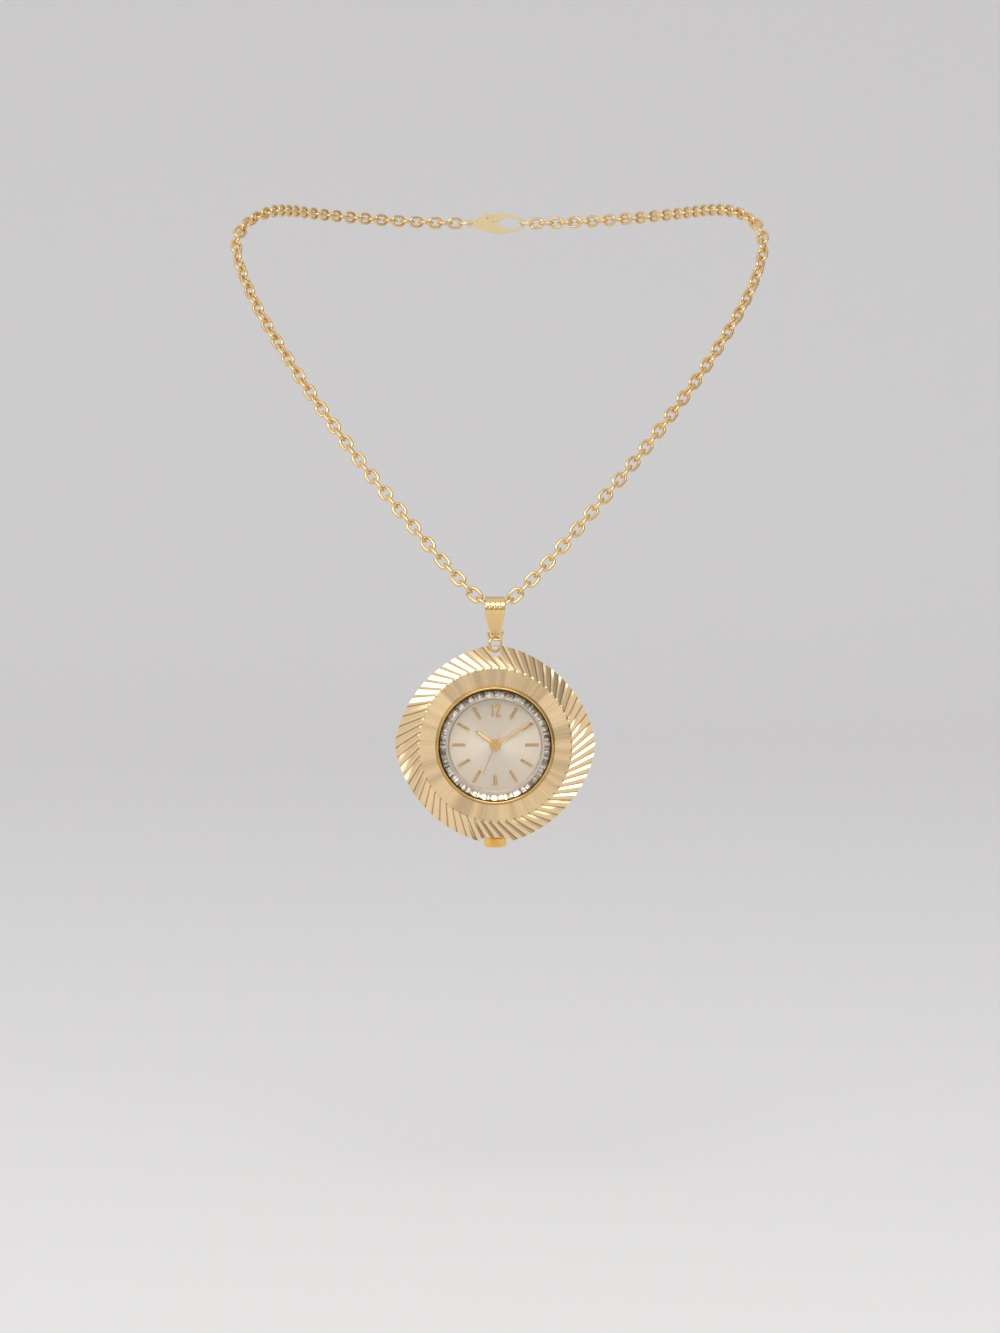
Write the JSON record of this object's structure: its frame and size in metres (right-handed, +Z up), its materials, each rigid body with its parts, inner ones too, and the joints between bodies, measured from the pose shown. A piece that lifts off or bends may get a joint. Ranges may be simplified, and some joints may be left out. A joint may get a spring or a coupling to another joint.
{
  "type": "pendant watch",
  "caption": "Pendant watch on a cable chain: soft square fluted rim, faceted crystal, keyless movement, bail and rings that swing.",
  "frame": {"origin": "centre of the neck loop, level with the shoulders, where the wearer's neck goes", "axes": "+Z up along the neck, the dial faces -Y, +X to the viewer's right"},
  "size_m": [0.1125, 0.1168, 0.1319],
  "materials": {
    "chain_gold": "polished plating",
    "bail_gold": "polished plating",
    "frame_gold": "brushed cone inside a polished fluted rim",
    "deep_gold": "polished plating",
    "hand_gold": "polished",
    "case_gold": "polished plating",
    "back_steel": "brushed",
    "glass": "clear, faceted rim",
    "dial_silver": "silvered sunburst",
    "rehaut_grey": "satin",
    "seal_rubber": "matte",
    "plate_nickel": "grained nickel plate",
    "wheel_brass": "polished",
    "work_steel": "polished",
    "spring_steel": "blued"
  },
  "bodies": {
    "chain": {"chain_front_left": "chain_gold", "chain_back_left": "chain_gold", "chain_front_right": "chain_gold", "chain_back_right": "chain_gold", "clasp_body": "chain_gold", "clasp_pin": "back_steel", "clasp_spring": "spring_steel", "clasp_ring": "chain_gold", "catch_ring": "chain_gold"},
    "clasp_trigger": {"clasp_trigger": "chain_gold"},
    "bail": {"bail": "bail_gold"},
    "bail_link": {"bail_link": "bail_gold"},
    "jump_ring": {"jump_ring": "bail_gold"},
    "head": {"bezel_frame": "frame_gold", "crystal_ring": "deep_gold", "crystal": "glass", "rehaut_ring": "rehaut_grey", "case_body": "case_gold", "case_back": "back_steel", "case_back_gasket": "seal_rubber", "crown_tube": "case_gold", "dial": "dial_silver", "hour_markers": "hand_gold", "numeral_twelve": "hand_gold", "movement_ring": "plate_nickel", "main_plate": "plate_nickel", "train_bridge": "plate_nickel", "bridge_pillars": "plate_nickel", "bridge_screws": "work_steel", "crown_wheel_core": "work_steel", "click_spring": "spring_steel", "hairspring": "spring_steel", "balance_cock": "plate_nickel"},
    "crown_gasket": {"crown_gasket": "seal_rubber"},
    "crown": {"crown": "deep_gold", "winding_stem": "work_steel"},
    "clutch_wheel": {"clutch_wheel": "work_steel"},
    "winding_pinion": {"winding_pinion": "work_steel"},
    "crown_wheel": {"crown_wheel": "work_steel"},
    "ratchet": {"ratchet_wheel": "work_steel", "barrel_arbor": "work_steel"},
    "setting_lever": {"setting_lever": "work_steel"},
    "click": {"click": "work_steel"},
    "barrel": {"barrel": "wheel_brass", "mainspring": "spring_steel"},
    "centre_wheel": {"centre_wheel": "wheel_brass"},
    "cannon": {"cannon_pinion": "wheel_brass", "minute_hand": "hand_gold"},
    "hour": {"hour_wheel": "wheel_brass", "hour_hand": "hand_gold"},
    "minute_wheel": {"minute_wheel": "wheel_brass"},
    "third_wheel": {"third_wheel": "wheel_brass"},
    "fourth": {"fourth_wheel": "wheel_brass", "second_hand": "hand_gold"},
    "escape_wheel": {"escape_wheel": "work_steel"},
    "pallet_fork": {"pallet_fork": "work_steel"},
    "balance": {"balance_wheel": "wheel_brass"}
  },
  "joints": [
    {"name": "clasp_trigger_swing", "type": "hinge", "parent": "chain", "child": "clasp_trigger", "pos_m": [-0.0019, 0.0582, 0.01015], "axis": [0, 1, 0], "range_deg": [0, 13], "stiffness_Nm_per_rad": 0.00002, "springref_deg": -28.65, "deforming": ["clasp_spring"]},
    {"name": "bail_swing", "type": "hinge", "parent": "chain", "child": "bail", "pos_m": [0, -0.054, -0.07261], "axis": [1, 0, 0], "range_deg": [-60, 60]},
    {"name": "bail_link_swing", "type": "hinge", "parent": "bail", "child": "bail_link", "pos_m": [0, -0.054, -0.077], "axis": [1, 0, 0], "range_deg": [-20, 20]},
    {"name": "jump_ring_swing", "type": "hinge", "parent": "bail_link", "child": "jump_ring", "pos_m": [0, -0.054, -0.07869], "axis": [1, 0, 0], "range_deg": [-20, 20]},
    {"name": "head_tilt", "type": "hinge", "parent": "jump_ring", "child": "head", "pos_m": [0, -0.054, -0.08104], "axis": [0, 1, 0], "range_deg": [-15, 15]},
    {"name": "crown_pull", "type": "slide", "parent": "head", "child": "crown_gasket", "axis": [0, 0, -1], "range_m": [0, 0.0006]},
    {"name": "crown_turn", "type": "hinge", "parent": "crown_gasket", "child": "crown", "pos_m": [0, -0.05165, -0.11839], "axis": [0, 0, 1], "continuous": true},
    {"name": "clutch_slide", "type": "slide", "parent": "crown", "child": "clutch_wheel", "axis": [0, 0, 1], "range_m": [0, 0.00101]},
    {"name": "winding_pinion_turn", "type": "hinge", "parent": "head", "child": "winding_pinion", "pos_m": [0, -0.05165, -0.10739], "axis": [0, 0, 1], "continuous": true},
    {"name": "crown_wheel_turn", "type": "hinge", "parent": "head", "child": "crown_wheel", "pos_m": [0, -0.05035, -0.10469], "axis": [0, -1, 0], "continuous": true},
    {"name": "ratchet_turn", "type": "hinge", "parent": "head", "child": "ratchet", "pos_m": [-0.00395, -0.05035, -0.10108], "axis": [0, -1, 0], "continuous": true},
    {"name": "setting_lever_swing", "type": "hinge", "parent": "head", "child": "setting_lever", "pos_m": [0.0016, -0.05165, -0.10439], "axis": [0, -1, 0], "range_deg": [0, 26.79]},
    {"name": "click_swing", "type": "hinge", "parent": "head", "child": "click", "pos_m": [-0.00514, -0.05035, -0.10437], "axis": [0, 1, 0], "range_deg": [0, 12], "stiffness_Nm_per_rad": 0.00001, "springref_deg": -28.65},
    {"name": "seconds_turn", "type": "hinge", "parent": "head", "child": "fourth", "pos_m": [0, -0.05385, -0.09964], "axis": [0, 1, 0], "continuous": true},
    {"name": "third_turn", "type": "hinge", "parent": "head", "child": "third_wheel", "pos_m": [0.00355, -0.05135, -0.10027], "axis": [0, 1, 0], "continuous": true},
    {"name": "centre_turn", "type": "hinge", "parent": "head", "child": "centre_wheel", "pos_m": [0, -0.05145, -0.09964], "axis": [0, 1, 0], "continuous": true},
    {"name": "barrel_turn", "type": "hinge", "parent": "head", "child": "barrel", "pos_m": [-0.00395, -0.05185, -0.10108], "axis": [0, 1, 0], "continuous": true},
    {"name": "escape_turn", "type": "hinge", "parent": "head", "child": "escape_wheel", "pos_m": [0.00247, -0.05165, -0.09669], "axis": [0, 1, 0], "continuous": true},
    {"name": "minute_set", "type": "hinge", "parent": "centre_wheel", "child": "cannon", "pos_m": [0, -0.05455, -0.09964], "axis": [0, 1, 0], "continuous": true},
    {"name": "hour_set", "type": "hinge", "parent": "head", "child": "hour", "pos_m": [0, -0.05425, -0.09964], "axis": [0, 1, 0], "continuous": true},
    {"name": "minute_wheel_set", "type": "hinge", "parent": "head", "child": "minute_wheel", "pos_m": [0.0012, -0.05305, -0.10172], "axis": [0, 1, 0], "continuous": true},
    {"name": "pallet_rock", "type": "hinge", "parent": "head", "child": "pallet_fork", "pos_m": [0.00189, -0.05165, -0.09479], "axis": [0, 1, 0], "range_deg": [-5, 5]},
    {"name": "balance_swing", "type": "hinge", "parent": "head", "child": "balance", "pos_m": [0.00158, -0.05135, -0.09374], "axis": [0, 1, 0], "range_deg": [-135, 135], "stiffness_Nm_per_rad": 0.000001, "deforming": ["hairspring"]}
  ],
  "couplings": [
    {"joint": "clutch_slide", "follows": "crown_pull", "ratio": 1.6667},
    {"joint": "setting_lever_swing", "follows": "crown_pull", "rad_per_m": 776.23},
    {"joint": "winding_pinion_turn", "follows": "crown_turn", "ratio": 1},
    {"joint": "crown_wheel_turn", "follows": "crown_turn", "ratio": -0.42308},
    {"joint": "ratchet_turn", "follows": "crown_turn", "ratio": 0.4},
    {"joint": "third_turn", "follows": "seconds_turn", "ratio": -0.13333},
    {"joint": "centre_turn", "follows": "seconds_turn", "ratio": 0.016667},
    {"joint": "barrel_turn", "follows": "seconds_turn", "ratio": -0.0027778},
    {"joint": "escape_turn", "follows": "seconds_turn", "ratio": -10},
    {"joint": "hour_set", "follows": "minute_set", "ratio": 0.083333},
    {"joint": "minute_wheel_set", "follows": "minute_set", "ratio": -0.33333}
  ]
}
